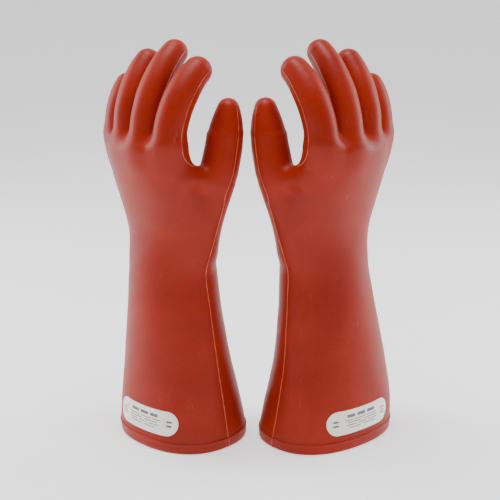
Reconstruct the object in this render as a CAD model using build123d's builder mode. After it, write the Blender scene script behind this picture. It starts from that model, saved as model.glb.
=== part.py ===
"""A pair of moulded rubber insulating gloves, standing side by side on their cuffs.

Both gloves are drawn in the left glove's own frame: +X to the thumb side, +Y to the palm, +Z up the
arm, with the origin on the floor below the wrist. The right glove's pieces are mirrored across YZ.
Each glove is a back sheet and a palm sheet bonded edge to edge, with a bead of rubber along the bond,
a reinforcing band round the cuff and a label. The sheets part at the flex lines of the wrist and of
each digit, where the moving side ends inside a ball-shaped cut, so that it can turn without rubbing.
"""

import os
from math import copysign, cos, pi, radians, sin

from build123d import *

os.makedirs("parts", exist_ok=True)

# ---- driving dimensions, in millimetres and degrees ----
wall = 2.0  # rubber thickness
flex_gap = 0.3  # clearance between the two sides of a flex line
bore_gap = 1.0  # how much wider a digit's bore is than the digit, above its hinge
bead_stop = 1.0  # how far a bead stops short of a flex line's gap
bead_height = 0.4  # how far the bond's bead stands out
bead_width = 1.4
bead_least = 1.0  # a scrap of bead smaller than this, in cubic millimetres, is left off
band_height = 9.0
band_proud = 1.0
label_length = 70.0
label_height = 20.0
label_thickness = 0.5
label_rise = 26.0  # height of the label's middle
label_aside = 3.0  # how far the label sits to the thumb side
label_chord = 0.94  # the label's straight width over its length round the curved cuff

wrist_rise = 155.0
wrist_lap = 12.5  # half of the turn that the wrist's ball-shaped cut leaves free
digit_lap = 30.0  # the same for a digit
hinge_rise = 7.0  # from a digit's root to its hinge, along the digit
root_depth = 16.0  # how far a digit's tube reaches into the palm

pair_shift_x = -3.0  # puts the origin at the middle of the pair's footprint
pair_shift_y = 5.5
left_wrist_x = -66.0
right_wrist_x = 63.0
left_turn = -44.0  # each glove stands turned about its own vertical
right_turn = 40.0

section_steps = 20  # points on a cross-section's outline
digit_steps = 5  # lengths that a digit's tube is lofted in
beyond = 150.0  # a length that passes everything
digit_beyond = 37.5  # half of a width that passes one digit
digit_margin = 4.0  # how far a digit's parting surface runs past both its ends
palm_start = 14.0  # how far below the wrist the palm's cross-sections begin
bond_start = 30.0  # the same for its bond

# Cross-sections: height, half width, half depth, centre x, centre y, squareness, tilt, arch.
gauntlet_sections = {
    "left": [
        (0.0, 57.5, 48.0, 5.8, 5.6, 2.3, 0, 0),
        (26.0, 55.5, 46.0, 4.3, 4.2, 2.2, 0, 0),
        (70.0, 50.5, 40.0, 2.2, 2.1, 2.1, 0, 0),
        (114.0, 45.0, 36.0, 0.9, 0.9, 2.0, 0, 0),
        (wrist_rise, 41.0, 32.5, 0.0, 0.0, 2.0, 0, 0),
    ],
    "right": [
        (0.0, 62.5, 46.0, -2.3, -1.9, 2.3, 0, 0),
        (26.0, 60.0, 45.0, -3.7, -3.1, 2.2, 0, 0),
        (70.0, 53.0, 40.0, -4.4, -3.7, 2.1, 0, 0),
        (114.0, 46.0, 36.0, -2.3, -1.9, 2.0, 0, 0),
        (wrist_rise, 41.0, 32.5, 0.0, 0.0, 2.0, 0, 0),
    ],
}
palm_sections = [
    (wrist_rise - palm_start, 42.2, 33.6, 0.0, 0.0, 2.0, 0, 0),
    (wrist_rise, 41.0, 32.5, 0.0, 0.0, 2.0, 0, 0),
    (180.0, 42.0, 28.0, 1.0, -3.5, 2.1, -0.04, 0.0005),
    (205.0, 45.5, 24.5, 1.0, -13.0, 2.2, -0.09, 0.0015),
    (230.0, 49.0, 21.0, 1.5, -25.0, 2.3, -0.14, 0.003),
    (250.0, 50.0, 19.0, 1.5, -33.0, 2.3, -0.18, 0.0045),
    (262.0, 49.0, 13.5, 2.0, -36.5, 2.3, -0.20, 0.005),
    (267.0, 44.0, 8.0, 2.0, -37.0, 2.3, -0.20, 0.005),
]

# Digits: root point, length, lean at the root and at the tip towards the palm, splay to the thumb
# side, radius at the root and at the tip, and the most that it flexes at its hinge.
digits = {
    "thumb": dict(root=(51.3, 6.0, 236.0), length=58.0, lean=(15.0, 2.0), splay=3.0, radius=(15.4, 10.5)),
    "index": dict(root=(41.0, -37.5, 265.0), length=73.0, lean=(1.0, 60.0), splay=4.0, radius=(12.3, 12.0)),
    "middle": dict(root=(15.0, -39.5, 265.0), length=85.0, lean=(1.5, 55.0), splay=1.5, radius=(12.3, 11.9)),
    "ring": dict(root=(-11.0, -34.5, 265.0), length=75.0, lean=(-1.0, 53.0), splay=-0.5, radius=(12.1, 11.6)),
    "little": dict(root=(-36.5, -22.5, 262.0), length=55.0, lean=(3.0, 42.0), splay=-5.0, radius=(11.8, 11.0)),
}
# The ball of the thumb: centre and radius of its cross-sections, from the wrist to the thumb's root.
thumb_ball = [((30.0, 2.0, 172.0), 14.5), ((43.0, 3.5, 206.0), 14.0), ((50.2, 5.0, 230.0), 15.3)]
thumb_ball_up = (0.3, 0.04, 1.0)  # the way those cross-sections face
thumb_ball_out = (0.0, 1.0, -0.04)  # the way to the palm, square to that
thumb_ball_end = 2.0  # how far above the thumb's root the ball of the thumb ends

# The bond between back and palm: its y at these x, at four heights.
bond_x = (-75.0, -36.0, -11.0, 15.0, 34.0, 50.0, 80.0)
bond_levels = [
    (wrist_rise - bond_start, (0, 0, 0, 0, 0, 0, 0)),
    (205.0, (-5, -8, -12, -12, -6, 3, 4)),
    (240.0, (-16, -18, -27, -31, -20, 6, 8)),
    (290.0, (-22, -22.5, -34.5, -39.5, -38, -37, -37)),
]


def signed_power(value, exponent):
    return copysign(abs(value) ** exponent, value)


def outline(section, grow):
    """The points round one cross-section, from the middle of the palm, grown outwards by grow."""
    _, half_width, half_depth, centre_x, centre_y, squareness, tilt, arch = section
    points = []
    for step in range(section_steps):
        angle = 2 * pi * step / section_steps + pi / 2
        x = (half_width + grow) * signed_power(cos(angle), 2 / squareness)
        y = (half_depth + grow) * signed_power(sin(angle), 2 / squareness)
        points.append((x + centre_x, y + centre_y + tilt * x + arch * x * x))
    return points


def tube(sections, grow, top_grow=0.0):
    """A solid through the cross-sections, grown by grow; its last one is raised by top_grow."""
    with BuildPart() as solid:
        for section in sections:
            rise = section[0] + (top_grow if section is sections[-1] else 0.0)
            with BuildSketch(Plane.XY.offset(rise)):
                with BuildLine():
                    Spline(*outline(section, grow), periodic=True)
                make_face()
        loft()
    return solid.part


def bend_plane(digit):
    """The plane that a digit bends in: its x is to the palm, its y is up, and it faces the thumb side."""
    splay = radians(digit["splay"])
    return Plane(origin=digit["root"], x_dir=(0, 1, 0), z_dir=(cos(splay), 0, -sin(splay)))


def lean_at(digit, along):
    first, last = digit["lean"]
    return radians(first + (last - first) * along / digit["length"])


def spine_point(digit, along):
    """The point of the digit's centre line that is this far above its root, in the bend plane."""
    bend_radius = digit["length"] / radians(digit["lean"][1] - digit["lean"][0])
    start, now = lean_at(digit, 0), lean_at(digit, along)
    return ((cos(start) - cos(now)) * bend_radius, (sin(now) - sin(start)) * bend_radius)


def cross_plane(digit, along):
    """The plane square to the digit's centre line at that point."""
    plane = bend_plane(digit)
    lean = lean_at(digit, along)
    up = plane.x_dir * sin(lean) + plane.y_dir * cos(lean)
    palmward = plane.x_dir * cos(lean) - plane.y_dir * sin(lean)
    return Plane(origin=plane.from_local_coords(spine_point(digit, along)), x_dir=palmward, z_dir=up)


def radius_at(digit, along):
    root_radius, tip_radius = digit["radius"]
    return root_radius + (tip_radius - root_radius) * max(along, 0.0) / digit["length"]


def digit_tube(digit, start, end, grow):
    """The digit's round body from start to end along its centre line."""
    with BuildPart() as solid:
        for step in range(digit_steps + 1):
            along = start + (end - start) * step / digit_steps
            with BuildSketch(cross_plane(digit, along)):
                Circle(radius_at(digit, along) + grow)
        loft()
    return solid.part


def whole_digit(digit, grow):
    """The digit from inside the palm to its round tip."""
    tip_radius = digit["radius"][1]
    tip_start = digit["length"] - tip_radius
    with BuildPart() as solid:
        add(digit_tube(digit, -root_depth, tip_start, grow))
        with Locations(cross_plane(digit, tip_start)):
            Sphere(radius_at(digit, tip_start) + grow)
    return solid.part


def flex_ball(digit, grow):
    """The ball round the digit's hinge that the flex line lies on."""
    with BuildPart() as ball:
        with Locations(cross_plane(digit, hinge_rise)):
            Sphere(radius_at(digit, hinge_rise) / cos(radians(digit_lap)) + grow)
    return ball.part


def above_hinge(digit):
    """Everything above the digit's hinge, as far as the digit reaches."""
    reach = digit["length"]
    with BuildPart() as block:
        with BuildSketch(cross_plane(digit, hinge_rise)):
            Rectangle(2 * reach, 3 * reach)
        extrude(amount=2 * reach)
    return block.part


def room_for(digit, grow):
    """The room that the hand leaves for a digit: its flex ball, and a bore above the hinge."""
    with BuildPart() as room:
        add(flex_ball(digit, grow))
        with BuildSketch(cross_plane(digit, hinge_rise)):
            Circle(radius_at(digit, hinge_rise) + bore_gap + grow)
        extrude(amount=digit["length"] / 2)
    return room.part


def palm_side(digit, shift):
    """Everything on the palm side of the digit's centre line, moved to the palm by shift."""
    start, end = -root_depth - digit_margin, digit["length"] + digit_margin
    low, middle, high = (
        (x + shift, y)
        for x, y in (spine_point(digit, start), spine_point(digit, (start + end) / 2), spine_point(digit, end))
    )
    far = beyond / 2
    with BuildPart() as region:
        with BuildSketch(bend_plane(digit)):
            with BuildLine():
                ThreePointArc(low, middle, high)
                Polyline(high, (far + high[0], high[1]), (far + high[0], low[1]), low)
            make_face()
        extrude(amount=digit_beyond, both=True)
    return region.part


def hand_palm_side(shift):
    """Everything on the palm side of the hand's bond, moved to the palm by shift."""
    with BuildPart() as region:
        for rise, levels in bond_levels:
            edge = [(x, y + shift) for x, y in zip(bond_x, levels)]
            with BuildSketch(Plane.XY.offset(rise)):
                with BuildLine():
                    Spline(*edge)
                    Polyline(edge[-1], (edge[-1][0], beyond), (edge[0][0], beyond), edge[0])
                make_face()
        loft(ruled=True)
    return region.part


def gauntlet_palm_side(side, shift):
    """Everything on the palm side of the gauntlet's bond, moved to the palm by shift."""
    edge = [(section[4] + shift, section[0]) for section in gauntlet_sections[side]]
    with BuildPart() as region:
        with BuildSketch(Plane.YZ):
            with BuildLine():
                Spline(*edge)
                Polyline(edge[-1], (beyond, edge[-1][1]), (beyond, edge[0][1]), edge[0])
            make_face()
        extrude(amount=beyond, both=True)
    return region.part


def wrist_ball(grow):
    """The egg round the wrist's hinge that the wrist's flex line lies on."""
    reach = 1 / cos(radians(wrist_lap))
    half_width = palm_sections[1][1] * reach + grow
    half_depth = palm_sections[1][2] * reach + grow
    with BuildPart() as egg:
        with BuildSketch(Plane.XY.offset(wrist_rise)):
            Ellipse(half_width, half_depth)
            Rectangle(2 * beyond, beyond, align=(Align.CENTER, Align.MIN), mode=Mode.INTERSECT)
        revolve(axis=Axis((0, 0, wrist_rise), (1, 0, 0)))
    return egg.part


def above_wrist():
    with BuildPart() as block:
        with BuildSketch(Plane.XY.offset(wrist_rise)):
            Rectangle(2 * beyond, 2 * beyond)
        extrude(amount=beyond * 2)
    return block.part


def ball_of_thumb(grow):
    """The ball of the thumb, from beside the wrist to the thumb's root, grown by grow."""
    thumb = digits["thumb"]
    with BuildPart() as ball:
        for centre, radius in thumb_ball:
            with BuildSketch(Plane(origin=centre, x_dir=thumb_ball_out, z_dir=thumb_ball_up)):
                Circle(radius + grow)
        with BuildSketch(cross_plane(thumb, thumb_ball_end)):
            Circle(radius_at(thumb, thumb_ball_end) + grow)
        loft()
    return ball.part


def hand_body(grow):
    """The palm, the ball of the thumb and the roots of the digits, grown by grow."""
    with BuildPart() as solid:
        add(tube(palm_sections, grow, top_grow=grow))
        add(ball_of_thumb(grow))
        for digit in digits.values():
            add(digit_tube(digit, -root_depth, hinge_rise, grow))
    return solid.part


def keep(name, pieces, side):
    """Labels one node's solids, stands them in their glove's place and writes them."""
    if side == "left":
        placed = Pos(left_wrist_x + pair_shift_x, pair_shift_y, 0) * Rot(0, 0, left_turn) * pieces
    else:
        mirrored = mirror(pieces, about=Plane.YZ)
        placed = Pos(right_wrist_x + pair_shift_x, pair_shift_y, 0) * Rot(0, 0, right_turn) * mirrored
    with BuildPart() as piece:
        add(placed)
    piece.part.label = f"{side}_{name}"
    export_step(piece.part, f"parts/{side}_{name}.step")
    box = piece.part.bounding_box()
    print(f"{piece.part.label}: {piece.part.volume / 1000:.2f} cm3, x {box.min.X:.1f} to {box.max.X:.1f},"
          f" y {box.min.Y:.1f} to {box.max.Y:.1f}, z {box.min.Z:.1f} to {box.max.Z:.1f}")


def split_halves(shell, palm_region):
    """The back and palm sheets of a shell."""
    with BuildPart() as back:
        add(shell)
        add(palm_region, mode=Mode.SUBTRACT)
    with BuildPart() as palm:
        add(shell)
        add(palm_region, mode=Mode.INTERSECT)
    return back.part, palm.part


def bead(grown, plain, region_low, region_high):
    """The bead of rubber along a bond: a thin skin of the body, between two offsets of the bond."""
    with BuildPart() as strip:
        add(grown)
        add(plain, mode=Mode.SUBTRACT)
        add(region_low, mode=Mode.INTERSECT)
        add(region_high, mode=Mode.SUBTRACT)
    return strip.part


def make_digit(name):
    """One digit's back sheet, palm sheet and bead, above its flex line."""
    digit = digits[name]
    outer, inner = whole_digit(digit, 0), whole_digit(digit, -wall)
    grown = whole_digit(digit, bead_height)
    with BuildPart() as moving_side:
        add(flex_ball(digit, 0))
        add(above_hinge(digit))
    with BuildPart() as shell:
        add(outer)
        add(inner, mode=Mode.SUBTRACT)
        add(moving_side.part, mode=Mode.INTERSECT)
    back, palm = split_halves(shell.part, palm_side(digit, 0))
    with BuildPart() as seam:
        add(bead(grown, outer, palm_side(digit, -bead_width / 2), palm_side(digit, bead_width / 2)))
        add(above_hinge(digit), mode=Mode.INTERSECT)
    return {"back": back, "palm": palm, "seam": seam.part}


def make_hand():
    """The hand's back sheet, palm sheet and bead, between the wrist's flex line and the digits'."""
    outer, inner, grown = hand_body(0), hand_body(-wall), hand_body(bead_height)
    with BuildPart() as fixed_side:
        add(wrist_ball(0))
        add(above_wrist())
        for digit in digits.values():
            add(room_for(digit, flex_gap), mode=Mode.SUBTRACT)
    with BuildPart() as shell:
        add(outer)
        add(inner, mode=Mode.SUBTRACT)
        add(fixed_side.part, mode=Mode.INTERSECT)
    back, palm = split_halves(shell.part, hand_palm_side(0))
    with BuildPart() as seam:
        add(bead(grown, outer, hand_palm_side(-bead_width / 2), hand_palm_side(bead_width / 2)))
        add(above_wrist(), mode=Mode.INTERSECT)
        for digit in digits.values():
            add(room_for(digit, flex_gap + bead_stop), mode=Mode.SUBTRACT)
    with BuildPart() as whole_seam:
        add(seam.part.solids().filter_by(lambda piece: piece.volume > bead_least))
    return {"back": back, "palm": palm, "seam": whole_seam.part}


def make_gauntlet(side):
    """The gauntlet's two sheets and bead, its cuff band and its label."""
    sections = gauntlet_sections[side]
    outer, inner, grown = (tube(sections, grow) for grow in (0, -wall, bead_height))
    with BuildPart() as shell:
        add(outer)
        add(inner, mode=Mode.SUBTRACT)
        add(wrist_ball(flex_gap), mode=Mode.SUBTRACT)
    back, palm = split_halves(shell.part, gauntlet_palm_side(side, 0))
    with BuildPart() as cuff_block:
        with BuildSketch():
            Rectangle(2 * beyond, 2 * beyond)
        extrude(amount=band_height)
    with BuildPart() as cuff_band:
        add(tube(sections, band_proud))
        add(outer, mode=Mode.SUBTRACT)
        add(cuff_block.part, mode=Mode.INTERSECT)
    low, high = gauntlet_palm_side(side, -bead_width / 2), gauntlet_palm_side(side, bead_width / 2)
    with BuildPart() as seam:
        add(bead(grown, outer, low, high))
        add(cuff_block.part, mode=Mode.SUBTRACT)
        add(wrist_ball(flex_gap + bead_stop), mode=Mode.SUBTRACT)
    with BuildPart() as label:
        add(tube(sections, label_thickness))
        add(outer, mode=Mode.SUBTRACT)
        with BuildSketch(Plane.XZ):
            with Locations((sections[1][3] + label_aside, label_rise)):
                SlotOverall(label_length * label_chord, label_height)
        extrude(amount=beyond, mode=Mode.INTERSECT)
    return {"back": back, "palm": palm, "seam": seam.part, "band": cuff_band.part, "label": label.part}


hand = make_hand()
made_digits = {name: make_digit(name) for name in digits}
for side in ("left", "right"):
    gauntlet = make_gauntlet(side)
    keep("gauntlet_back", gauntlet["back"], side)
    keep("gauntlet_palm", gauntlet["palm"], side)
    keep("gauntlet_seam", gauntlet["seam"], side)
    keep("cuff_band", gauntlet["band"], side)
    keep("label", gauntlet["label"], side)
    for piece, solids in hand.items():
        keep(f"hand_{piece}", solids, side)
    for name, pieces in made_digits.items():
        for piece, solids in pieces.items():
            keep(f"{name}_{piece}", solids, side)
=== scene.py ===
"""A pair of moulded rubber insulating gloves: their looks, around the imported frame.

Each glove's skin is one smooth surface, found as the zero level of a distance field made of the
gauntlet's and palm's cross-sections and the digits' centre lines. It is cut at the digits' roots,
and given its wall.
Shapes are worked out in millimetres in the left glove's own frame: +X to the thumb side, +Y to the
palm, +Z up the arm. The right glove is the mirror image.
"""

import bmesh
import bpy
import numpy as np
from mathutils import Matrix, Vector


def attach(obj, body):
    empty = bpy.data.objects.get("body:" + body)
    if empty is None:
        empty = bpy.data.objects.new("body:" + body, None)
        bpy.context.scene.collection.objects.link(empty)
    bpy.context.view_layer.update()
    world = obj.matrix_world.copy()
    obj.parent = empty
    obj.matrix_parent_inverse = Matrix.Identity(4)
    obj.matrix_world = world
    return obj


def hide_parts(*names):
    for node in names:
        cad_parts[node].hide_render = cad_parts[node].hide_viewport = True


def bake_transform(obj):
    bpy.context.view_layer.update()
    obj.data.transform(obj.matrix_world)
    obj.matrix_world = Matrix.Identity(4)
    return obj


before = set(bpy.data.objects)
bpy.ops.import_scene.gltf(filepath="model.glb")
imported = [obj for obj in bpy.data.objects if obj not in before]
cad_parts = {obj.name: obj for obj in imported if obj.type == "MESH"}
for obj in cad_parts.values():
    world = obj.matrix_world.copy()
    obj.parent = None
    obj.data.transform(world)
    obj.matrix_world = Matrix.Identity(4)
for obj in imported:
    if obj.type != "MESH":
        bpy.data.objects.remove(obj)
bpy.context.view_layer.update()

# ---- the same driving dimensions as the CAD model, in millimetres and degrees ----
WALL = 2.0
PAIR_SHIFT = (-3.0, 5.5)
SIDES = {
    "left": dict(x=-66.0, turn=-44.0, flip=1.0),
    "right": dict(x=63.0, turn=40.0, flip=-1.0),
}
# Cross-sections: height, half width, half depth, centre x, centre y, squareness, tilt, arch.
GAUNTLET = {
    "left": [
        (-12.0, 48.0, 40.0, 5.3, 5.6, 2.5, 0, 0),
        (0.0, 55.6, 47.6, 5.3, 5.2, 2.3, 0, 0),
        (10.0, 56.4, 48.0, 4.9, 4.8, 2.3, 0, 0),
        (26.0, 55.0, 46.0, 4.1, 4.2, 2.3, 0, 0),
        (70.0, 50.5, 40.0, 2.2, 2.1, 2.1, 0, 0),
        (114.0, 45.0, 36.0, 0.9, 0.9, 2.0, 0, 0),
    ],
    "right": [
        (-12.0, 54.0, 39.0, -2.3, -1.9, 2.5, 0, 0),
        (0.0, 61.0, 45.6, -2.3, -2.1, 2.3, 0, 0),
        (10.0, 61.6, 45.9, -2.6, -2.4, 2.3, 0, 0),
        (26.0, 60.0, 45.0, -3.7, -3.1, 2.3, 0, 0),
        (70.0, 53.0, 40.0, -4.4, -3.7, 2.1, 0, 0),
        (114.0, 46.0, 36.0, -2.3, -1.9, 2.0, 0, 0),
    ],
}
PALM = [
    (155.0, 41.0, 32.5, 0.0, 0.0, 2.0, 0, 0),
    (180.0, 42.0, 28.0, 1.0, -3.5, 2.1, -0.04, 0.0005),
    (205.0, 46.3, 25.0, 1.0, -13.0, 2.2, -0.09, 0.0015),
    (230.0, 50.2, 22.0, 1.0, -25.0, 2.3, -0.14, 0.003),
    (250.0, 51.8, 20.0, 0.2, -33.0, 2.3, -0.18, 0.0045),
    (260.0, 50.0, 17.0, 0.6, -36.0, 2.3, -0.20, 0.005),
    (270.0, 46.0, 9.0, 2.0, -37.0, 2.3, -0.20, 0.005),
]
PALM_TOP = 264.0
DIGITS = {
    "thumb": dict(root=(51.3, 6.0, 236.0), length=60.5, lean=(15.0, 2.0), splay=3.0, radius=(15.6, 9.4)),
    "index": dict(root=(41.0, -37.5, 265.0), length=73.0, lean=(1.0, 62.0), splay=5.0, radius=(13.2, 11.6)),
    "middle": dict(root=(15.0, -39.5, 265.0), length=85.0, lean=(1.5, 57.0), splay=1.5, radius=(12.6, 10.6)),
    "ring": dict(root=(-11.0, -34.5, 265.0), length=73.0, lean=(-1.0, 53.0), splay=-0.5, radius=(12.2, 10.9)),
    "little": dict(root=(-36.5, -22.5, 262.0), length=51.0, lean=(3.0, 42.0), splay=-5.0, radius=(12.6, 10.6)),
}
THUMB_BALL = [(30.0, 2.0, 172.0, 14.5), (43.0, 3.5, 206.0, 14.0), (50.2, 5.0, 230.0, 15.3)]
# The web of the thumb: centre and radius, from the thumb to the index finger's side.
WEB = [(51.0, 3.0, 232.0, 8.0), (49.5, -10.0, 233.0, 7.0), (47.0, -25.0, 236.0, 8.0)]
ROOT_DEPTH = 16.0  # how far a digit's tube reaches into the palm
SINK = 0.27  # how fast a digit's tube thins inside the palm
CUT_RISE = 5.0  # from a digit's root to where its own piece begins

# The bond between back and palm: its y at these x, at each height.
BOND_X = (-75.0, -36.0, -11.0, 15.0, 34.0, 50.0, 80.0)
BOND = [
    (125.0, (0, 0, 0, 0, 0, 0, 0)),
    (165.0, (-2, -3, -5, -5, -2, 1, 1)),
    (205.0, (-5, -8, -12, -12, -6, 3, 4)),
    (222.0, (-10, -13.5, -20, -22, -11, 3, 4)),
    (232.0, (-13, -16, -24, -28, -18, 0, 1)),
    (240.0, (-15.5, -18, -27.5, -33, -27, -15, -14)),
    (250.0, (-18, -20, -31, -36.5, -34, -31, -30)),
    (264.0, (-20, -21.5, -33.5, -39, -37.5, -37, -37)),
    (290.0, (-22, -22.5, -34.5, -39.5, -38, -37, -37)),
]
GRID = 1.5  # spacing of the distance field
WEB_ROUND = 11.0  # how softly digits flow into the palm
THUMB_ROUND = 14.0


def millimetres(side, points):
    """Points of a glove's own frame, in the row frame in metres."""
    place = SIDES[side]
    turn = np.radians(place["turn"])
    points = np.asarray(points, float).reshape(-1, 3)
    x, y, z = (points * (place["flip"], 1, 1)).T
    return np.stack([
        x * np.cos(turn) - y * np.sin(turn) + place["x"] + PAIR_SHIFT[0],
        x * np.sin(turn) + y * np.cos(turn) + PAIR_SHIFT[1],
        z,
    ], 1) / 1000


def directions(side, vectors):
    place = SIDES[side]
    turn = np.radians(place["turn"])
    x, y, z = (np.asarray(vectors, float).reshape(-1, 3) * (place["flip"], 1, 1)).T
    return np.stack([x * np.cos(turn) - y * np.sin(turn), x * np.sin(turn) + y * np.cos(turn), z], 1)


def flowing(at, knots, values):
    """Values at each place, on a smooth curve through the knots."""
    knots, values = np.asarray(knots, float), np.asarray(values, float)
    slopes = np.gradient(values, knots, axis=0)
    i = np.clip(np.searchsorted(knots, at) - 1, 0, len(knots) - 2)
    step = knots[i + 1] - knots[i]
    t = np.clip((at - knots[i]) / step, 0, 1)
    shape = (-1,) + (1,) * (values.ndim - 1)
    t, step = t.reshape(shape), step.reshape(shape)
    return ((2 * t**3 - 3 * t**2 + 1) * values[i] + (t**3 - 2 * t**2 + t) * step * slopes[i]
            + (3 * t**2 - 2 * t**3) * values[i + 1] + (t**3 - t**2) * step * slopes[i + 1])


def sections(side, heights):
    table = np.array(GAUNTLET[side] + PALM)
    return flowing(np.asarray(heights, float), table[:, 0], table[:, 1:])


def softstep(value):
    t = np.clip(value, 0, 1)
    return t * t * (3 - 2 * t)


def soft_union(a, b, roundness):
    h = np.clip(0.5 + 0.5 * (b - a) / roundness, 0, 1)
    return b + (a - b) * h - roundness * h * (1 - h)


# ---- digits ----
def digit_frame(digit):
    splay = np.radians(digit["splay"])
    up = np.array([np.sin(splay), 0, np.cos(splay)])
    across = np.array([np.cos(splay), 0, -np.sin(splay)])
    return up, across


def spine(digit, along):
    """Points of a digit's centre line, and the palmward direction square to it."""
    along = np.atleast_1d(np.asarray(along, float))
    start, end = np.radians(digit["lean"])
    curl = (end - start) / digit["length"]
    lean = start + curl * along
    up, _ = digit_frame(digit)
    palm = np.array([0.0, 1.0, 0.0])
    points = (np.array(digit["root"]) + np.outer((np.cos(start) - np.cos(lean)) / curl, palm)
              + np.outer((np.sin(lean) - np.sin(start)) / curl, up))
    forward = np.outer(np.sin(lean), palm) + np.outer(np.cos(lean), up)
    palmward = np.outer(np.cos(lean), palm) - np.outer(np.sin(lean), up)
    return points, forward, palmward


def digit_line(name):
    """A digit's centre line as points with radii and heights above the root."""
    digit = DIGITS[name]
    root_radius, tip_radius = digit["radius"]
    tip = digit["length"] - tip_radius
    along = np.linspace(-ROOT_DEPTH, tip, 20)
    points, _, _ = spine(digit, along)
    share = np.clip(along, 0, None) / tip
    radii = root_radius + (tip_radius - root_radius) * share**3 + SINK * np.minimum(along, 0)
    if name == "thumb":
        ball = np.array(THUMB_BALL)
        keep = along > -2
        points = np.concatenate([ball[:, :3], points[keep]])
        radii = np.concatenate([ball[:, 3], radii[keep]])
        low = -np.linalg.norm(ball[:, :3] - digit["root"], axis=1)
        along = np.concatenate([low, along[keep]])
    return points, radii, along


def chain_field(points, line, radii, along):
    """Distance to a chain of round cones, and how far along it the nearest place is."""
    best = np.full(len(points), 1e9)
    where = np.zeros(len(points))
    for a, b, ra, rb, sa, sb in zip(line, line[1:], radii, radii[1:], along, along[1:]):
        leg = b - a
        t = np.clip((points - a) @ leg / (leg @ leg), 0, 1)
        distance = np.linalg.norm(points - a - t[:, None] * leg, axis=1) - (ra + (rb - ra) * t)
        near = distance < best
        best[near] = distance[near]
        where[near] = (sa + (sb - sa) * t)[near]
    return best, where


# ---- the glove as a distance field ----
def glove_field(side):
    low, high = np.array([-72.0, -66.0, -6.0]), np.array([78.0, 66.0, 350.0])
    axes = [np.arange(a, b, GRID) for a, b in zip(low, high)]
    x, y = axes[0][:, None, None], axes[1][None, :, None]
    half_width, half_depth, centre_x, centre_y, squareness, tilt, arch = (
        value[None, None, :] for value in sections(side, np.minimum(axes[2], PALM[-1][0])).T)
    u = x - centre_x
    v = y - centre_y - tilt * u - arch * u * u
    ratio = ((np.abs(u) / half_width) ** squareness
             + (np.abs(v) / half_depth) ** squareness + 1e-9) ** (1 / squareness)
    slope = np.sqrt(sum(g * g for g in np.gradient(ratio, GRID)))
    body = (ratio - 1) / np.maximum(slope, 0.012)
    body = soft_union(-body, -(axes[2][None, None, :] - PALM_TOP), 8.0) * -1

    grid = np.stack(np.meshgrid(*axes, indexing="ij"), -1)
    fingers = np.full(body.shape, 60.0)
    thumb = np.full(body.shape, 60.0)
    for name in DIGITS:
        line, radii, along = digit_line(name)
        reach = radii.max() + 22
        first = np.maximum(((line.min(0) - reach - low) / GRID).astype(int), 0)
        last = ((line.max(0) + reach - low) / GRID).astype(int) + 1
        block = tuple(slice(a, b) for a, b in zip(first, last))
        near = grid[block]
        field, _ = chain_field(near.reshape(-1, 3), line, radii, along)
        into = thumb if name == "thumb" else fingers
        into[block] = np.minimum(into[block], field.reshape(near.shape[:3]))
    web = np.array(WEB)
    bridge, _ = chain_field(grid.reshape(-1, 3), web[:, :3], web[:, 3], web[:, 3])
    whole = soft_union(soft_union(body, fingers, WEB_ROUND), thumb, THUMB_ROUND)
    whole = soft_union(whole, bridge.reshape(whole.shape), 8.0)
    px, py, pz = (grid[..., i] for i in range(3))
    uneven = (np.sin(px / 9.0 + 1.3 * np.sin(pz / 17.0)) * np.sin(pz / 13.0 + py / 11.0)
              + 0.6 * np.sin(px / 5.2 - pz / 7.5) * np.sin(py / 6.1 + pz / 9.0))
    return whole + 0.16 * uneven, low


def sample(volume, low, points):
    """The volume's value at each point, straight-line between grid points."""
    place = (points - low) / GRID
    i = np.clip(place.astype(int), 0, np.array(volume.shape[:3]) - 2)
    t = place - i
    total = 0
    for dx in (0, 1):
        for dy in (0, 1):
            for dz in (0, 1):
                weight = (np.abs(1 - dx - t[:, 0]) * np.abs(1 - dy - t[:, 1]) * np.abs(1 - dz - t[:, 2]))
                corner = volume[i[:, 0] + dx, i[:, 1] + dy, i[:, 2] + dz]
                total = total + (weight[:, None] * corner if corner.ndim > 1 else weight * corner)
    return total


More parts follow.
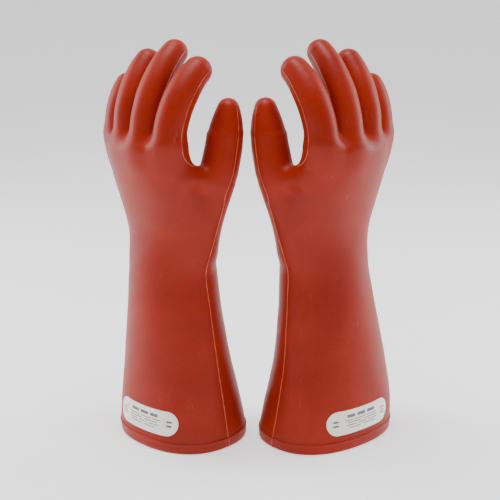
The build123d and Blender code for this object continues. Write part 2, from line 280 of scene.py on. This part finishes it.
def surface_net(field, low):
    """All-quad mesh of the field's zero level, with unit normals."""
    cells = np.array(field.shape) - 1
    total = np.zeros((cells.prod(), 3))
    count = np.zeros(cells.prod())
    quads = []
    for axis in range(3):
        ahead = [slice(None)] * 3
        behind = [slice(None)] * 3
        behind[axis], ahead[axis] = slice(0, -1), slice(1, None)
        a, b = field[tuple(behind)], field[tuple(ahead)]
        crossing = np.argwhere((a < 0) != (b < 0))
        va, vb = a[tuple(crossing.T)], b[tuple(crossing.T)]
        points = crossing.astype(float)
        points[:, axis] += va / (va - vb)
        one, two = (axis + 1) % 3, (axis + 2) % 3
        corners = []
        for back_one, back_two in ((0, 0), (1, 0), (1, 1), (0, 1)):
            cell = crossing.copy()
            cell[:, one] -= back_one
            cell[:, two] -= back_two
            corners.append(cell)
        inside = np.all([((c >= 0) & (c < cells)).all(1) for c in corners], axis=0)
        ids = np.stack([np.ravel_multi_index(c[inside].T, cells) for c in corners], 1)
        for k in range(4):
            for d in range(3):
                total[:, d] += np.bincount(ids[:, k], points[inside, d], cells.prod())
            count += np.bincount(ids[:, k], minlength=cells.prod())
        outward = va[inside] > 0
        ids[outward] = ids[outward][:, ::-1]
        quads.append(ids)
    quads = np.concatenate(quads)
    used, quads = np.unique(quads, return_inverse=True)
    quads = quads.reshape(-1, 4)
    points = total[used] / count[used, None] * GRID + low
    slopes = np.stack(np.gradient(field, GRID), -1)
    for _ in range(4):
        slope = sample(slopes, low, points)
        size = np.maximum((slope**2).sum(1), 0.05)
        points -= np.clip(sample(field, low, points) / size, -GRID, GRID)[:, None] * slope
    normals = sample(slopes, low, points)
    normals /= np.linalg.norm(normals, axis=1)[:, None]
    # quads are wound so that their normals point outwards
    corner = points[quads]
    facing = np.cross(corner[:, 2] - corner[:, 0], corner[:, 3] - corner[:, 1])
    if (facing * normals[quads[:, 0]]).sum() < 0:
        quads = quads[:, ::-1]
    return points, quads, normals


def bond_offset(side, points, nearest, along):
    """How far each point lies to the palm side of the bond."""
    gauntlet_centre = sections(side, points[:, 2])[:, 3]
    levels = flowing(points[:, 2], [level for level, _ in BOND], [row for _, row in BOND])
    column = np.clip(np.searchsorted(BOND_X, points[:, 0]) - 1, 0, len(BOND_X) - 2)
    left, right = np.array(BOND_X)[column], np.array(BOND_X)[column + 1]
    t = np.clip((points[:, 0] - left) / (right - left), 0, 1)
    each = np.arange(len(points))
    hand_y = levels[each, column] * (1 - t) + levels[each, column + 1] * t
    is_hand = softstep((points[:, 2] - 120) / 30)
    offset = points[:, 1] - (gauntlet_centre * (1 - is_hand) + hand_y * is_hand)
    for number, name in enumerate(DIGITS):
        mine = nearest == number
        centre, _, palmward = spine(DIGITS[name], along[mine])
        own = ((points[mine] - centre) * palmward).sum(1)
        begins, ends = (-22, -10) if name == "thumb" else (-6, 4)
        share = softstep((along[mine] - begins) / (ends - begins))
        offset[mine] = offset[mine] * (1 - share) + own * share
    return offset


def digit_share(points):
    """For each point: the nearest digit, how near, and how far along it."""
    fields, alongs = [], []
    for name in DIGITS:
        field, along = chain_field(points, *digit_line(name))
        fields.append(field)
        alongs.append(along)
    fields, alongs = np.array(fields), np.array(alongs)
    nearest = fields.argmin(0)
    each = np.arange(len(points))
    return nearest, fields[nearest, each], alongs[nearest, each]


# ---- meshes ----
def mesh_object(name, points, faces, material, smooth=True):
    mesh = bpy.data.meshes.new(name)
    mesh.from_pydata([tuple(p) for p in points], [], [tuple(int(i) for i in f) for f in faces])
    mesh.materials.append(material)
    if smooth:
        mesh.polygons.foreach_set("use_smooth", [True] * len(mesh.polygons))
    mesh.update()
    piece = bpy.data.objects.new(name, mesh)
    bpy.context.collection.objects.link(piece)
    return piece


def glove_faces(side, faces):
    """Faces keep facing outwards when the glove is mirrored."""
    return [tuple(f)[::-1] for f in faces] if SIDES[side]["flip"] < 0 else [tuple(f) for f in faces]


def walled(name, side, points, normals, faces, material):
    """A closed piece: the skin, its inner side one wall in, and the rim along its open edges."""
    count = len(points)
    ring = {}
    for face in faces:
        for a, b in zip(face, face[1:] + face[:1]):
            ring[(a, b)] = ring.get((a, b), 0) + 1
    edges = [(a, b) for a, b in ring if (b, a) not in ring]
    inner = [tuple(i + count for i in face[::-1]) for face in faces]
    rims = [(b, a, a + count, b + count) for a, b in edges]
    solid = np.concatenate([points, points - normals * WALL])
    piece = mesh_object(name, millimetres(side, solid), glove_faces(side, faces + inner + rims), material)
    mesh = piece.data
    out = directions(side, np.concatenate([normals, -normals]))
    skin_faces = len(faces) * 2
    loop_vertex = np.zeros(len(mesh.loops), int)
    mesh.loops.foreach_get("vertex_index", loop_vertex)
    starts = np.zeros(len(mesh.polygons), int)
    mesh.polygons.foreach_get("loop_start", starts)
    custom = out[loop_vertex]
    for number in range(skin_faces, len(mesh.polygons)):
        polygon = mesh.polygons[number]
        custom[starts[number]:starts[number] + polygon.loop_total] = polygon.normal
    mesh.normals_split_custom_set(custom.tolist())
    return piece


def split_skin(side):
    """The skin, cut at the rim and at the digits' roots: points, normals, bond and faces by piece."""
    field, low = glove_field(side)
    points, quads, normals = surface_net(field, low)
    nearest, nearness, along = digit_share(points)
    bond = bond_offset(side, points, nearest, along)
    bm = bmesh.new()
    normal_layer = bm.verts.layers.float_vector.new("skin_normal")
    bond_layer = bm.verts.layers.float.new("bond")
    made = [bm.verts.new(p) for p in points]
    for vertex, n, offset in zip(made, normals, bond):
        vertex[normal_layer] = Vector(n)
        vertex[bond_layer] = offset
    for quad in quads:
        bm.faces.new([made[i] for i in quad])
    rim = [g for g in (*bm.verts, *bm.edges, *bm.faces)]
    bmesh.ops.bisect_plane(bm, geom=rim, plane_co=(0, 0, 0), plane_no=(0, 0, -1), clear_outer=True)
    for name, digit in DIGITS.items():
        centre, forward, _ = spine(digit, CUT_RISE)
        centre, forward = Vector(centre[0]), Vector(forward[0])
        reach = digit["radius"][0] + 7
        near = set()
        for face in bm.faces:
            away = face.calc_center_median() - centre
            height = away.dot(forward)
            if abs(height) < 6 and (away - forward * height).length < reach:
                near.add(face)
        edges = {edge for face in near for edge in face.edges}
        verts = {vertex for face in near for vertex in face.verts}
        bmesh.ops.bisect_plane(bm, geom=[*verts, *edges, *near], plane_co=centre, plane_no=forward)
    bm.verts.index_update()
    points = np.array([v.co for v in bm.verts])
    normals = np.array([v[normal_layer] for v in bm.verts])
    normals /= np.linalg.norm(normals, axis=1)[:, None]
    bond = np.array([v[bond_layer] for v in bm.verts])
    faces = [tuple(v.index for v in face.verts) for face in bm.faces]
    bm.free()
    middles = np.array([points[list(face)].mean(0) for face in faces])
    nearest, nearness, _ = digit_share(middles)
    owner = np.full(len(faces), -1)
    for number, digit in enumerate(DIGITS.values()):
        centre, forward, _ = spine(digit, CUT_RISE)
        above = (middles - centre[0]) @ forward[0] > 0
        owner[(nearest == number) & (nearness < 6) & above] = number
    pieces = {}
    for number, name in enumerate(["main", *DIGITS], start=-1):
        chosen = [face for face, o in zip(faces, owner) if o == number]
        used = sorted({i for face in chosen for i in face})
        renumber = {old: new for new, old in enumerate(used)}
        pieces[name] = (points[used], normals[used], bond[used],
                        [tuple(renumber[i] for i in face) for face in chosen])
    return pieces


def bond_lines(points, normals, bond, faces):
    """Chains of places where the skin crosses the bond, each with its skin normal."""
    def crossing(a, b):
        t = bond[a] / (bond[a] - bond[b])
        return points[a] + (points[b] - points[a]) * t, normals[a] + (normals[b] - normals[a]) * t

    links = {}
    for face in faces:
        cut = [tuple(sorted((a, b))) for a, b in zip(face, face[1:] + face[:1])
               if (bond[a] < 0) != (bond[b] < 0)]
        if len(cut) == 2:
            links.setdefault(cut[0], []).append(cut[1])
            links.setdefault(cut[1], []).append(cut[0])
    chains, done = [], set()
    ends = [key for key, to in links.items() if len(to) == 1]
    for start in ends + list(links):
        if start in done:
            continue
        chain = [start]
        done.add(start)
        while True:
            onward = [key for key in links[chain[-1]] if key not in done]
            if not onward:
                break
            chain.append(onward[0])
            done.add(onward[0])
        if len(chain) > 8:
            pairs = [crossing(*key) for key in chain]
            chains.append((np.array([p for p, _ in pairs]), np.array([n for _, n in pairs])))
    return chains


BEAD_PROFILE = [(-0.55, -0.4), (-0.42, 0.1), (-0.18, 0.36), (0.18, 0.36), (0.42, 0.1), (0.55, -0.4)]


def bead(name, side, chains, material):
    """The raised bead along the bond."""
    points, faces = [], []
    for line, normal in chains:
        for _ in range(24):
            line[1:-1] = line[1:-1] * 0.5 + (line[:-2] + line[2:]) * 0.25
            normal[1:-1] = normal[1:-1] * 0.5 + (normal[:-2] + normal[2:]) * 0.25
        normal = normal / np.linalg.norm(normal, axis=1)[:, None]
        ahead = np.gradient(line, axis=0)
        aside = np.cross(ahead, normal)
        aside /= np.linalg.norm(aside, axis=1)[:, None]
        first, sides = len(points), len(BEAD_PROFILE)
        for place, out, across in zip(line, normal, aside):
            raised = 0.75 * softstep((10.5 - place[2]) / 1.5)  # it climbs over the cuff's band
            points += [place + across * w + out * (h + raised) for w, h in BEAD_PROFILE]
        for k in range(len(line) - 1):
            a, b = first + k * sides, first + (k + 1) * sides
            faces += [(a + i, b + i, b + (i + 1) % sides, a + (i + 1) % sides) for i in range(sides)]
        last = first + (len(line) - 1) * sides
        faces += [tuple(range(first, first + sides)), tuple(range(last + sides - 1, last - 1, -1))]
    return mesh_object(name, millimetres(side, points), glove_faces(side, faces), material)


def rim_outline(side, height, grow, steps=160):
    """The gauntlet's outline at a height, grown outwards."""
    half_width, half_depth, centre_x, centre_y, squareness, _, _ = sections(side, [height])[0]
    angle = np.linspace(0, 2 * np.pi, steps, endpoint=False)
    power = 2 / squareness
    x = (half_width + grow) * np.sign(np.cos(angle)) * np.abs(np.cos(angle)) ** power
    y = (half_depth + grow) * np.sign(np.sin(angle)) * np.abs(np.sin(angle)) ** power
    return np.stack([x + centre_x, y + centre_y, np.full(steps, float(height))], 1)


BAND_PROFILE = [(-0.8, 0.0), (-0.1, 0.0), (0.45, 0.4), (0.7, 1.2), (0.6, 4.5), (0.6, 7.4), (0.75, 7.9),
                (1.05, 8.4), (0.95, 9.0), (0.35, 9.5), (-0.8, 9.7)]


def cuff_band(side, material):
    """The reinforcing band round the cuff, with its raised upper edge."""
    rings = [rim_outline(side, height, grow) for grow, height in BAND_PROFILE]
    steps, count = len(rings[0]), len(rings)
    faces = []
    for k in range(count):
        a, b = k * steps, ((k + 1) % count) * steps
        faces += [(a + i, a + (i + 1) % steps, b + (i + 1) % steps, b + i) for i in range(steps)]
    return mesh_object(f"{side}_cuff_band_skin", millimetres(side, np.concatenate(rings)),
                       glove_faces(side, faces), material)


# ---- the label ----
LABEL = dict(length=70.0, height=21.0, rise=25.5, aside=3.0, thick=0.45)


def on_back(side, along, up, out):
    """Points on the back of the cuff, from the label's middle: along to the thumb side, and up."""
    along, up = np.asarray(along, float), np.asarray(up, float)
    result = []
    for a, u in zip(along, up):
        ring = rim_outline(side, LABEL["rise"] + u, out, 720)
        back = ring[360:]
        length = np.concatenate([[0], np.cumsum(np.linalg.norm(np.diff(back, axis=0), axis=1))])
        centre = np.interp(sections(side, [LABEL["rise"]])[0][2] + LABEL["aside"], back[:, 0], length)
        result.append([np.interp(centre + a, length, back[:, d]) for d in range(3)])
    return np.array(result)


def stadium(scale, steps=56):
    """A stadium's outline, shrunk evenly towards its long axis by scale."""
    radius = LABEL["height"] / 2
    straight = LABEL["length"] / 2 - radius
    turn = np.linspace(-np.pi / 2, np.pi / 2, steps // 2)
    run = np.linspace(straight, -straight, steps // 2 + 1)[1:-1]
    along = [straight + radius * np.cos(turn), run, -straight - radius * np.cos(turn), -run]
    up = [radius * np.sin(turn), np.full(len(run), radius), -radius * np.sin(turn), np.full(len(run), -radius)]
    return np.concatenate(along) * (0.3 + 0.7 * scale), np.concatenate(up) * scale


def label(side, material):
    rings = [(1.0, -0.3), (1.0, LABEL["thick"] * 0.7), (0.985, LABEL["thick"])]
    rings += [(scale, LABEL["thick"]) for scale in (0.9, 0.75, 0.5, 0.25, 0.04)]
    points, faces = [], []
    for scale, out in rings:
        points.append(on_back(side, *stadium(scale), out))
    steps = len(points[0])
    for k in range(len(rings) - 1):
        a, b = k * steps, (k + 1) * steps
        faces += [(a + i, a + (i + 1) % steps, b + (i + 1) % steps, b + i) for i in range(steps)]
    top = (len(rings) - 1) * steps
    faces += [tuple(range(top, top + steps)), tuple(range(steps - 1, -1, -1))]
    return mesh_object(f"{side}_label_film", millimetres(side, np.concatenate(points)),
                       glove_faces(side, faces), material)


# Plain bars in place of print: middle along, middle up, length, height.
LABEL_BARS = [(-11, 5.2, 9, 2.6), (0.5, 5.2, 9, 2.6), (11.5, 5.2, 8, 2.6)]
LABEL_BARS += [(x, up, length, 0.7) for up, bars in (
    (1.6, ((-12, 12), (2, 12), (14, 8))), (-0.6, ((-10, 16), (8, 14))),
    (-2.8, ((-13, 10), (-1, 10), (11, 10))), (-5.0, ((-9, 14), (7, 12)))) for x, length in bars]
LABEL_BARS += [(-27, up, 6.5, 0.9) for up in (-2.4, 0, 2.4)] + [(27, up, 5.0, 1.6) for up in (-1.8, 1.8)]


def label_marks(side, material):
    """Plain bars where a label carries its print."""
    points, faces = [], []
    for middle, up, length, height in LABEL_BARS:
        steps = max(2, int(length / 2))
        along = np.linspace(middle - length / 2, middle + length / 2, steps + 1)
        first = sum(len(p) for p in points)
        low, high = LABEL["thick"] - 0.1, LABEL["thick"] + 0.05
        rows = [(up - height / 2, low), (up - height / 2, high), (up + height / 2, high), (up + height / 2, low)]
        for row_up, out in rows:
            points.append(on_back(side, along, np.full(steps + 1, row_up), out))
        n = steps + 1
        for r in range(4):
            a, b = first + r * n, first + ((r + 1) % 4) * n
            faces += [(a + i, a + i + 1, b + i + 1, b + i) for i in range(steps)]
        faces += [tuple(first + r * n for r in range(4)), tuple(first + r * n + steps for r in (3, 2, 1, 0))]
    return mesh_object(f"{side}_label_marks", millimetres(side, np.concatenate(points)),
                       glove_faces(side, faces), material, smooth=False)


# ---- materials ----
def new_material(name):
    material = bpy.data.materials.new(name)
    material.use_nodes = True
    return material, material.node_tree.nodes, material.node_tree.links, material.node_tree.nodes["Principled BSDF"]


def noise(nodes, links, coordinates, scale, detail=4.0, roughness=0.55):
    node = nodes.new("ShaderNodeTexNoise")
    node.inputs["Scale"].default_value = scale
    node.inputs["Detail"].default_value = detail
    node.inputs["Roughness"].default_value = roughness
    links.new(coordinates.outputs["Object"], node.inputs["Vector"])
    return node


def ramp(nodes, links, source, stops):
    node = nodes.new("ShaderNodeValToRGB")
    while len(node.color_ramp.elements) < len(stops):
        node.color_ramp.elements.new(0.5)
    for element, (place, colour) in zip(node.color_ramp.elements, stops):
        element.position = place
        element.color = (*colour, 1)
    links.new(source, node.inputs["Fac"])
    return node


def mixed(nodes, links, factor, first, second, blend="MIX"):
    node = nodes.new("ShaderNodeMix")
    node.data_type = "RGBA"
    node.blend_type = blend
    if isinstance(factor, float):
        node.inputs["Factor"].default_value = factor
    else:
        links.new(factor, node.inputs["Factor"])
    for source, socket in ((first, node.inputs[6]), (second, node.inputs[7])):
        if isinstance(source, tuple):
            socket.default_value = (*source, 1)
        else:
            links.new(source, socket)
    return node.outputs[2]


def rubber_material():
    """Orange-red moulded rubber: clouded colour, fine grain, pale scuffs."""
    material, nodes, links, shader = new_material("moulded_rubber")
    coordinates = nodes.new("ShaderNodeTexCoord")
    clouds = noise(nodes, links, coordinates, 22, 5)
    speckle = noise(nodes, links, coordinates, 420, 3, 0.7)
    base = ramp(nodes, links, clouds.outputs["Fac"],
                [(0.3, (0.26, 0.009, 0.001)), (0.5, (0.30, 0.011, 0.001)), (0.7, (0.34, 0.015, 0.002))])
    fine = ramp(nodes, links, speckle.outputs["Fac"], [(0.35, (0.82, 0.82, 0.82)), (0.65, (1.1, 1.1, 1.1))])
    grained = mixed(nodes, links, 0.5, base.outputs["Color"], fine.outputs["Color"], "MULTIPLY")
    stretch = nodes.new("ShaderNodeMapping")
    stretch.inputs["Scale"].default_value = (1.0, 1.0, 0.25)
    stretch.inputs["Rotation"].default_value = (0.3, 0.5, 0.2)
    links.new(coordinates.outputs["Object"], stretch.inputs["Vector"])
    scuffs = nodes.new("ShaderNodeTexNoise")
    scuffs.inputs["Scale"].default_value = 210
    scuffs.inputs["Detail"].default_value = 2
    links.new(stretch.outputs["Vector"], scuffs.inputs["Vector"])
    scuff_mask = ramp(nodes, links, scuffs.outputs["Fac"], [(0.70, (0, 0, 0)), (0.78, (1, 1, 1))])
    scuff_share = nodes.new("ShaderNodeMath")
    scuff_share.operation = "MULTIPLY"
    scuff_share.inputs[1].default_value = 0.16
    links.new(scuff_mask.outputs["Color"], scuff_share.inputs[0])
    colour = mixed(nodes, links, scuff_share.outputs[0], grained, (0.62, 0.15, 0.07))
    links.new(colour, shader.inputs["Base Color"])
    dull = ramp(nodes, links, clouds.outputs["Fac"], [(0.3, (0.40,) * 3), (0.7, (0.52,) * 3)])
    links.new(dull.outputs["Color"], shader.inputs["Roughness"])
    shader.inputs["Specular IOR Level"].default_value = 0.22
    shader.inputs["Sheen Weight"].default_value = 0.05
    shader.inputs["Sheen Roughness"].default_value = 0.45
    shader.inputs["Sheen Tint"].default_value = (1.0, 0.62, 0.52, 1)
    shader.inputs["Subsurface Weight"].default_value = 0.06
    shader.inputs["Subsurface Radius"].default_value = (0.004, 0.001, 0.0005)
    bump = nodes.new("ShaderNodeBump")
    bump.inputs["Strength"].default_value = 0.16
    bump.inputs["Distance"].default_value = 0.0004
    links.new(speckle.outputs["Fac"], bump.inputs["Height"])
    links.new(bump.outputs["Normal"], shader.inputs["Normal"])
    return material


def bead_highlight_and_wear_material():
    material, nodes, links, shader = new_material("rubber_bead")
    coordinates = nodes.new("ShaderNodeTexCoord")
    # The bead's colour is painted lighter than the rubber around it: a painted highlight along the raised seam,
    # with the noise adding lighter and darker patches of wear.
    wear = noise(nodes, links, coordinates, 160, 3)
    colour = ramp(nodes, links, wear.outputs["Fac"], [(0.35, (0.42, 0.040, 0.014)), (0.65, (0.62, 0.105, 0.05))])
    links.new(colour.outputs["Color"], shader.inputs["Base Color"])
    shader.inputs["Roughness"].default_value = 0.4
    return material


def label_material():
    material, nodes, links, shader = new_material("label_film")
    coordinates = nodes.new("ShaderNodeTexCoord")
    dirt = noise(nodes, links, coordinates, 90, 4)
    colour = ramp(nodes, links, dirt.outputs["Fac"], [(0.3, (0.90, 0.89, 0.82)), (0.7, (0.96, 0.955, 0.90))])
    links.new(colour.outputs["Color"], shader.inputs["Base Color"])
    shader.inputs["Roughness"].default_value = 0.5
    return material


def ink_material():
    material, nodes, links, shader = new_material("label_ink")
    coordinates = nodes.new("ShaderNodeTexCoord")
    wear = noise(nodes, links, coordinates, 700, 2)
    colour = ramp(nodes, links, wear.outputs["Fac"], [(0.35, (0.10, 0.09, 0.10)), (0.7, (0.26, 0.22, 0.22))])
    links.new(colour.outputs["Color"], shader.inputs["Base Color"])
    shader.inputs["Roughness"].default_value = 0.6
    return material


def build_glove(side, rubber, bead_highlight_rubber, film, ink):
    for name, (points, normals, bond, faces) in split_skin(side).items():
        chains = bond_lines(points, normals, bond, faces)
        if name == "main":
            skin = walled(f"{side}_gauntlet_and_hand_skin", side, points, normals, faces, rubber)
            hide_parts(*(f"{side}_{part}_{half}" for part in ("gauntlet", "hand") for half in ("back", "palm")))
            line = bead(f"{side}_hand_bead", side, chains, bead_highlight_rubber)
            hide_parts(f"{side}_gauntlet_seam", f"{side}_hand_seam")
        else:
            skin = walled(f"{side}_{name}_skin", side, points, normals, faces, rubber)
            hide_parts(f"{side}_{name}_back", f"{side}_{name}_palm")
            line = bead(f"{side}_{name}_bead", side, chains, bead_highlight_rubber)
            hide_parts(f"{side}_{name}_seam")
        for piece, finish in ((skin, "rubber"), (line, "rubber_bead")):
            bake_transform(piece)
    band = cuff_band(side, rubber)
    tag = label(side, film)
    marks = label_marks(side, ink)
    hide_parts(f"{side}_cuff_band")
    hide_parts(f"{side}_label")
    for piece, finish in ((band, "rubber"), (tag, "label"), (marks, "label")):
        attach(piece, f"{side}_gauntlet")


def area_light(name, place, aim, size, power, colour=(1, 1, 1)):
    light = bpy.data.lights.new(name, "AREA")
    light.shape = "RECTANGLE"
    light.size, light.size_y = size
    light.energy = power
    light.color = colour
    lamp = bpy.data.objects.new(name, light)
    lamp.location = place
    lamp.rotation_euler = (Vector(aim) - Vector(place)).to_track_quat("-Z", "Y").to_euler()
    bpy.context.collection.objects.link(lamp)


def studio():
    # a floor that curves up into a wall behind, so that there is no horizon
    reach, start, bow = 6.0, 2.2, 1.6
    turn = np.linspace(0, np.pi / 2, 13)
    profile = [(-reach, 0), *zip(start + bow * np.sin(turn), bow - bow * np.cos(turn)), (start + bow, reach)]
    points = [(x, y, z) for y, z in profile for x in (-reach, reach)]
    faces = [(2 * i, 2 * i + 1, 2 * i + 3, 2 * i + 2) for i in range(len(profile) - 1)]
    material, _, _, shader = new_material("pale_floor")
    shader.inputs["Base Color"].default_value = (0.9, 0.9, 0.9, 1)
    shader.inputs["Roughness"].default_value = 0.9
    shader.inputs["Emission Color"].default_value = (1, 1, 1, 1)
    shader.inputs["Emission Strength"].default_value = 0.6
    mesh_object("floor", points, faces, material)
    world = bpy.data.worlds.new("studio")
    bpy.context.scene.world = world
    world.use_nodes = True
    world.node_tree.nodes["Background"].inputs["Color"].default_value = (1, 1, 1, 1)
    world.node_tree.nodes["Background"].inputs["Strength"].default_value = 0.4
    middle = (0, 0, 0.2)
    area_light("left_softbox", (-1.0, 0.35, 0.5), middle, (0.5, 1.0), 10)
    area_light("right_softbox", (1.0, 0.35, 0.5), middle, (0.5, 1.0), 10)
    area_light("top_softbox", (-0.1, -0.1, 1.5), middle, (0.8, 0.5), 20)


CAMERA_AWAY = 0.900  # from the gloves' line to the camera
CAMERA_HEIGHT = 0.411
CAMERA_DIP = 15.4  # degrees below level
CAMERA_LENS = 79.4
SENSOR = 36.0


def camera():
    lens = bpy.data.cameras.new("camera")
    lens.sensor_width = SENSOR
    lens.lens = CAMERA_LENS
    view = bpy.data.objects.new("camera", lens)
    view.location = (PAIR_SHIFT[0] / 1000, PAIR_SHIFT[1] / 1000 - CAMERA_AWAY, CAMERA_HEIGHT)
    view.rotation_euler = (np.radians(90 - CAMERA_DIP), 0, 0)
    bpy.context.collection.objects.link(view)
    bpy.context.scene.camera = view


studio()
camera()
finishes = rubber_material(), bead_highlight_and_wear_material(), label_material(), ink_material()
for side in SIDES:
    build_glove(side, *finishes)
